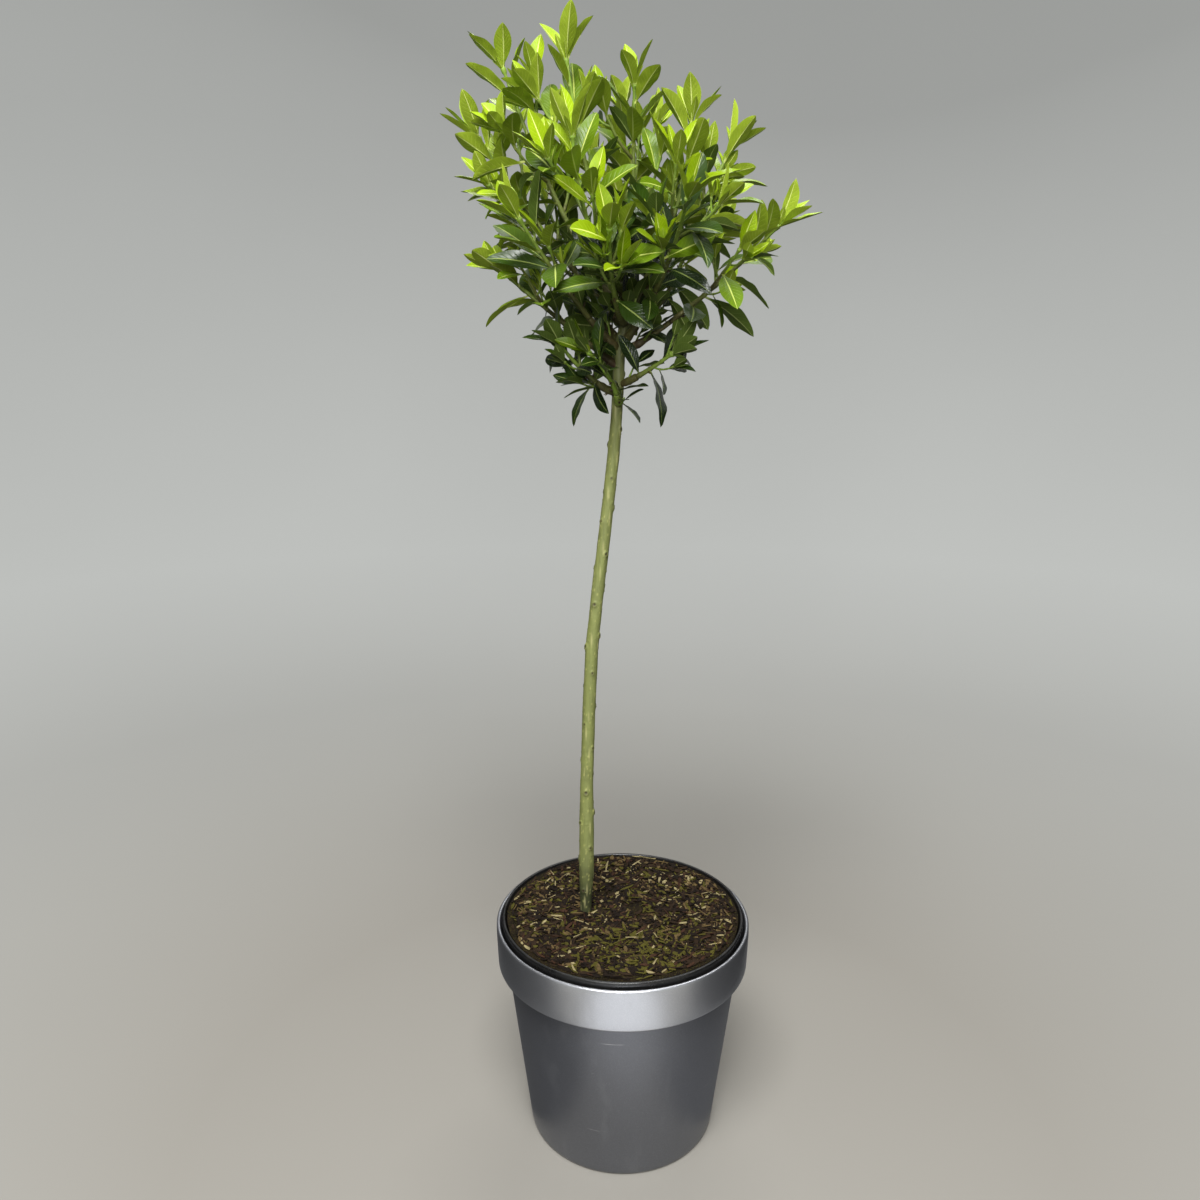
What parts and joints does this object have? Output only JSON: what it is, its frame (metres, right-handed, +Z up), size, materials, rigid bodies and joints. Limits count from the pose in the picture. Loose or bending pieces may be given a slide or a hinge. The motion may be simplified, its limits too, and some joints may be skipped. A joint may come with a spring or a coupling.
{
  "type": "standard laurel topiary",
  "caption": "Young laurel grown as a short standard: a slim leaning trunk under a loose leafy head, in a black nursery pot set inside a plain grey plastic planter.",
  "frame": {"origin": "centre of the planter's flat underside, on the surface it stands on", "axes": "+Z up along the planter's axis; +Y away from the front, which is the side the trunk and the lowest leaves show to; +X to the right of the front"},
  "size_m": [0.2538, 0.2228, 0.8295],
  "materials": {
    "grey_plastic": "satin",
    "black_plastic": "gloss",
    "potting_mix": "matte",
    "bark": "matte",
    "foliage": "satin"
  },
  "bodies": {
    "root": {"planter": "grey_plastic", "nursery_pot": "black_plastic", "soil": "potting_mix", "trunk": "bark", "bough_front_low": "bark", "bough_right_low": "bark", "bough_left_under": "bark", "bough_left_low": "bark", "bough_low_right": "bark", "bough_back_low": "bark", "bough_left_front": "bark", "bough_front_right": "bark", "bough_back_left": "bark", "bough_back_right": "bark", "bough_front_centre": "bark", "bough_top_left": "bark", "bough_right_outer": "bark", "bough_front_left": "bark", "bough_left_outer": "bark", "bough_back_centre": "bark", "bough_leader": "bark", "bough_centre_top": "bark", "front_low": "foliage", "right_low": "foliage", "left_under": "foliage", "left_low": "foliage", "low_right": "foliage", "back_low": "foliage", "left_front": "foliage", "front_right": "foliage", "back_left": "foliage", "back_right": "foliage", "front_centre": "foliage", "top_left": "foliage", "right_outer": "foliage", "front_left": "foliage", "left_outer": "foliage", "back_centre": "foliage", "leader": "foliage", "centre_top": "foliage", "right_top": "foliage"}
  },
  "joints": []
}
